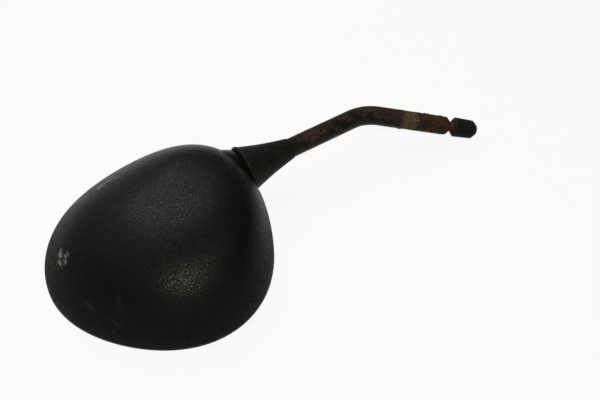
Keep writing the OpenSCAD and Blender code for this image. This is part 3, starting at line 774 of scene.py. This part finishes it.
# Scrapes and scuffs on the dome: from, to, half width, how pale
marks = [
    ((-113.0, 1.0, 31.0), (-118.6, -6.5, 26.6), 4.4, 0.75), ((-111.2, -5.0, 33.2), (-117.2, -9.6, 27.8), 3.8, 0.65),
    ((-77.6, 27.0, 37.2), (-68.9, 29.0, 37.9), 1.9, 1.0), ((-69.5, 29.0, 37.9), (-65.0, 29.2, 38.2), 1.4, 0.8),
    ((-64.6, 28.1, 39.0), (-61.0, 25.4, 41.4), 0.9, 0.7), ((-72.0, 25.0, 40.0), (-71.5, 23.5, 41.0), 0.7, 0.5),
    ((-116.0, -34.0, 23.7), (-111.6, -44.6, 20.2), 2.6, 0.05),
    ((-101.5, -40.0, 33.0), (-107.4, -51.0, 20.0), 1.1, 0.045),
    ((-109.0, -48.0, 21.0), (-100.0, -62.8, 14.0), 1.7, 0.045),
    ((-97.0, -45.0, 34.0), (-101.0, -55.0, 23.0), 4.0, 0.03), ((-96.0, 22.0, 33.0), (-104.0, 6.0, 36.0), 3.0, 0.03),
]


def housingFinish():
    plastic = Finish("grainedPlastic", gloss=grained["gloss"])
    broad = plastic.speckle(*grained["broad"])
    waver = broad - noiseMiddle
    valleys = plastic.reckon("ABSOLUTE", plastic.speckle(*grained["creases"]) - noiseMiddle)
    grain = (plastic.between(plastic.cells(grained["pebbles"]), *grained["pebbleRange"])
             + plastic.between(valleys, *grained["creaseRange"]))
    plastic.feed("colour", plastic.mixed(plastic.between(broad, *grained["toneRange"]), *grained["tones"]))
    # Painted light: a paler patch round a spot on the far top left of the dome, fading out with distance from it
    fromPaintedLight = plastic.distance(groundPlace @ Vector(grained["paintedLightAt"])) + waver * grained["paintedLightWaver"]
    plastic.overlay(plastic.between(fromPaintedLight, *grained["paintedLightRange"]), grained["paintedLight"])
    # Painted shade: the grain's hollows and creases are darker
    plastic.overlay(plastic.between(grain, *grained["hollowRange"]), grained["hollow"])
    plastic.overlay(plastic.between(plastic.speckle(*grained["dust"]), *grained["dustRange"]), grained["dusty"])
    flecks = plastic.between(plastic.speckle(*grained["flecks"]), *grained["fleckRange"])
    tears = plastic.speckle(*grained["tears"], plastic.stretched(*grained["dragged"]))
    torn = plastic.between(tears, *grained["tearRange"]) * flecks
    for start, end, width, pale in marks:
        streak = plastic.streak(groundPlace @ Vector(start), groundPlace @ Vector(end), width / 1000)
        broken = torn if width > grained["tornAbove"] else flecks
        plastic.overlay(plastic.between(streak * broken, *grained["scrapeRange"], 0.0, pale), grained["scraped"])
    height = plastic.node("ShaderNodeSeparateXYZ", "Z", None, {"Vector": plastic.place})
    plastic.feed("roughness", plastic.between(grain, *grained["roughRange"]) + broad * grained["roughWaver"]
                 + plastic.between(height, *grained["lowRange"]))
    plastic.feed("normal", plastic.bump(grain, *grained["bump"]))
    return plastic


wear(housing, housingFinish())

satin = {
    "cloud": (260, 4, 0.7), "toneRange": (0.4, 0.65), "tones": ((0.005, 0.0052, 0.0052), (0.0105, 0.0106, 0.0103)),
    "roughRange": (0.3, 0.7, 0.34, 0.5), "grain": (1100, 3), "bump": (0.3, 0.00005),
}
wear(bezel, cloudyFinish("satinPlastic", satin, gloss=0.16))

rubber = {
    "cloud": (60, 4, 0.6), "toneRange": (0.3, 0.75), "tones": ((0.0045, 0.0045, 0.0045), (0.0075, 0.0073, 0.007)),
    "roughRange": (0.2, 0.8, 0.48, 0.62), "grain": (700, 4, 0.7), "bump": (0.6, 0.0002),
    "soil": (210, 5, 0.7), "soilRange": (0.46, 0.7, 0.0, 0.8), "soiled": (0.0145, 0.0132, 0.0105),
}
rubberFinish = cloudyFinish("bootRubber", rubber, gloss=0.08)
soil = rubberFinish.between(rubberFinish.speckle(*rubber["soil"]), *rubber["soilRange"])
rubberFinish.overlay(soil, rubber["soiled"])
wear(rubberBoot, rubberFinish)

# Dark paint where the mask is 0 and rust in the tint of its patch where it is 1
painted = {
    "gloss": 0.09, "blots": (520, 4, 0.65), "blotShare": 0.8, "maskRange": (0.25, 0.6),
    "mottle": (170, 4, 0.6), "toneRange": (0.35, 0.65), "tones": ((0.005, 0.005, 0.0039), (0.0115, 0.0108, 0.008)),
    "flecks": (900, 4, 0.7), "fleckRange": (0.45, 0.62, 0.0, 0.7), "fleckColour": (0.009, 0.0065, 0.005),
    "bright": (330, 3), "brightRange": (0.58, 0.72, 0.0, 0.45), "brightColour": (0.07, 0.042, 0.026),
    "pits": (260, 4, 0.7), "pitRange": (0.6, 0.68, 0.0, 0.8), "pitColour": (0.0045, 0.0042, 0.0035),
    "roughRange": (0, 1, 0.4, 0.8), "maskHeight": -0.5, "blotHeight": 0.9, "bump": (0.7, 0.00025),
}


def paintedFinish():
    steel = Finish("flakedPaint", gloss=painted["gloss"])
    rust = steel.node("ShaderNodeAttribute", "Fac", {"attribute_name": "rust"})
    tint = steel.node("ShaderNodeAttribute", "Color", {"attribute_name": "tint"})
    blots = steel.speckle(*painted["blots"])
    mask = steel.between(rust + (blots - noiseMiddle) * painted["blotShare"], *painted["maskRange"])
    paint = steel.mixed(steel.between(steel.speckle(*painted["mottle"]), *painted["toneRange"]), *painted["tones"])
    fleck = steel.between(steel.speckle(*painted["flecks"]), *painted["fleckRange"])
    bright = steel.between(steel.speckle(*painted["bright"]), *painted["brightRange"])
    oxide = steel.mixed(bright, steel.mixed(fleck, tint, painted["fleckColour"]), painted["brightColour"])
    steel.feed("colour", steel.mixed(mask, paint, oxide))
    steel.overlay(steel.between(steel.speckle(*painted["pits"]), *painted["pitRange"]), painted["pitColour"])
    steel.feed("roughness", steel.between(mask, *painted["roughRange"]))
    steel.feed("normal", steel.bump(mask * painted["maskHeight"] + blots * painted["blotHeight"], *painted["bump"]))
    return steel


wear(stem, paintedFinish())

capLook = {
    "cloud": (120, 4, 0.65), "toneRange": (0.3, 0.75), "tones": ((0.0052, 0.0055, 0.0056), (0.0082, 0.0084, 0.0084)),
    "roughRange": (0.2, 0.8, 0.5, 0.68), "grain": (900, 3), "bump": (0.3, 0.00012),
    "stainWaver": 0.002, "stainRange": (0.0074, 0.0088, 0.7, 0.0), "stained": (0.024, 0.0165, 0.012),
}
capFinish = cloudyFinish("capPlastic", capLook, gloss=0.06)
fromShoulder = capFinish.distance(threadPlace.translation) + (capFinish.cloud - noiseMiddle) * capLook["stainWaver"]
capFinish.overlay(capFinish.between(fromShoulder, *capLook["stainRange"]), capLook["stained"])
wear(cap, capFinish)

# what is inside the head
metalLook = {
    "cloud": 0.15, "toneRange": (0.3, 0.7), "rougher": 0.18, "scratch": 2.2, "drawnOut": (1, 1, 0.12),
    "bump": (0.15, 0.00004),
}
mouldedLook = {"gloss": 0.45, "cloud": 0.1, "toneRange": (0.3, 0.7), "rougher": 0.12, "bumpStrength": 0.3}


def metalFinish(name, colour, darker, roughness, scale=900):
    metal = cloudyFinish(name, {
        "cloud": (scale * metalLook["cloud"], 4, 0.6), "toneRange": metalLook["toneRange"], "tones": (colour, darker),
        "roughRange": (0.2, 0.8, roughness, roughness + metalLook["rougher"])}, metal=1.0)
    scratches = metal.speckle(scale * metalLook["scratch"], 3, 0.5, metal.stretched(metalLook["drawnOut"]))
    metal.feed("normal", metal.bump(scratches, *metalLook["bump"]))
    return metal


def mouldedFinish(name, colour, darker, roughness, scale, depth):
    return cloudyFinish(name, {
        "cloud": (scale * mouldedLook["cloud"], 3), "toneRange": mouldedLook["toneRange"], "tones": (colour, darker),
        "roughRange": (0.2, 0.8, roughness, roughness + mouldedLook["rougher"]),
        "grain": (scale, 3), "bump": (mouldedLook["bumpStrength"], depth)}, gloss=mouldedLook["gloss"])


silvered = {
    "cloud": (22, 4, 0.6), "toneRange": (0.35, 0.7), "tones": ((0.86, 0.88, 0.9), (0.83, 0.86, 0.87)),
    "roughRange": (0.3, 0.75, 0.02, 0.05),
}
mirror = cloudyFinish("silveredGlass", silvered, metal=1.0, coat=1.0, coatRoughness=0.02)
turned = metalFinish("turnedSteel", (0.56, 0.56, 0.57), (0.44, 0.44, 0.45), roughness=0.22)
plated = metalFinish("zincPlate", (0.6, 0.6, 0.57), (0.46, 0.45, 0.41), roughness=0.32)
cast = metalFinish("castAlloy", (0.4, 0.4, 0.4), (0.3, 0.3, 0.3), roughness=0.5, scale=420)
nylon = mouldedFinish("nylon", (0.62, 0.6, 0.53), (0.55, 0.52, 0.44), roughness=0.4, scale=700, depth=0.00004)
carrier = mouldedFinish("carrierPlastic", (0.03, 0.031, 0.032), (0.022, 0.023, 0.024),
                        roughness=0.5, scale=500, depth=0.00008)
foam = mouldedFinish("foam", (0.06, 0.06, 0.062), (0.035, 0.035, 0.037), roughness=0.9, scale=1500, depth=0.0003)

for names, finish in [
    (("mirror_glass",), mirror), (("glass_pad",), foam), (("carrier_plate",), carrier),
    (("ball_seat", "ball_ring"), nylon), (("socket_block", "clamp_plate"), cast),
    (("pivot_ball", "ball_pin", "clamp_springs"), turned),
    (("clamp_screws", "clamp_washers", "block_screws", "carrier_screws"), plated),
]:
    for name in names:
        dress(name, finish)
print("finishes laid on")

# floor, light and camera

studio = {
    "ground": -shoulderAt.z / 1000, "floorGap": 0.00005, "floorSize": 30.0, "floorColour": 0.6, "floorRoughness": 0.9,
    "floorGlow": 0.9, "worldLevel": 0.13, "lampAim": groundPlace @ Vector((-60, -20, 45)),
    "cameraAt": groundPlace @ Vector((-162.0, -349.1, 492.9)), "cameraTo": groundPlace @ Vector((33.6, -35.8, 20.1)),
    "lens": 56.02, "sensor": 36, "clipStart": 0.01,
}

# Lamps stand where the photograph's highlights mirror them: azimuth and elevation from the dome, in degrees,
# and how far away, in millimetres. Their sizes are in metres.
lamps = {
    "skyLamp": {"azimuth": 112, "elevation": 58, "away": 1400, "size": (1.3, 1.7), "watts": 2.6, "colour": (1, 1, 1)},
    "beamLamp": {"azimuth": 78, "elevation": 55, "away": 1400, "size": (0.1, 1.0), "watts": 9.6, "colour": (1, 1, 1)},
    "warmLamp": {"azimuth": -101, "elevation": 55, "away": 1200, "size": (0.12, 0.12), "watts": 9.0,
                 "colour": (1, 0.92, 0.8)},
}

floor = startPiece("floor", bpy.ops.mesh.primitive_plane_add, size=studio["floorSize"],
                   location=(0, 0, studio["ground"] - studio["floorGap"]))

# The floor glows for the camera and in reflections, and keeps its shadows on the paper underneath
paper = Finish("paper", colour=(studio["floorColour"],) * 3 + (1,), roughness=studio["floorRoughness"], gloss=0.0)
seen, mirrored, through = [paper.node("ShaderNodeLightPath", output)
                           for output in ("Is Camera Ray", "Is Glossy Ray", "Is Transmission Ray")]
glowing = paper.reckon("MAXIMUM", paper.reckon("MAXIMUM", seen, mirrored), through) * studio["floorGlow"]
blend = paper.node("ShaderNodeMixShader", 0, None, {
    0: glowing, 1: Wire(paper, paper.shader.outputs[0]), 2: paper.node("ShaderNodeEmission", 0)})
paper.tree.links.new(blend.socket, paper.tree.nodes["Material Output"].inputs["Surface"])
wear(floor, paper)

world = bpy.data.worlds.new("studio")
world.use_nodes = True
bpy.context.scene.world = world
sky = world.node_tree.nodes["Background"]
sky.inputs["Color"].default_value = (1, 1, 1, 1)
sky.inputs["Strength"].default_value = studio["worldLevel"]


def lamp(name, azimuth, elevation, away, size, watts, colour):
    turn, rise = math.radians(azimuth), math.radians(elevation)
    way = Vector((math.cos(rise) * math.cos(turn), math.cos(rise) * math.sin(turn), math.sin(rise)))
    bpy.ops.object.select_all(action="DESELECT")
    bpy.ops.object.light_add(type="AREA", location=studio["lampAim"] + way * away / 1000)
    made = bpy.context.object
    made.name = name
    made.data.shape = "RECTANGLE"
    made.data.size, made.data.size_y = size
    made.data.energy = watts
    made.data.color = colour
    made.rotation_euler = way.to_track_quat("Z", "Y").to_euler()


for name, sizes in lamps.items():
    lamp(name, **sizes)

bpy.ops.object.camera_add(location=studio["cameraAt"])
camera = bpy.context.object
camera.rotation_euler = (studio["cameraTo"] - studio["cameraAt"]).to_track_quat("-Z", "Y").to_euler()
camera.data.lens = studio["lens"]
camera.data.sensor_width = studio["sensor"]
camera.data.clip_start = studio["clipStart"]
bpy.context.scene.camera = camera
bpy.context.scene.view_settings.view_transform = "Standard"
print("studio set")
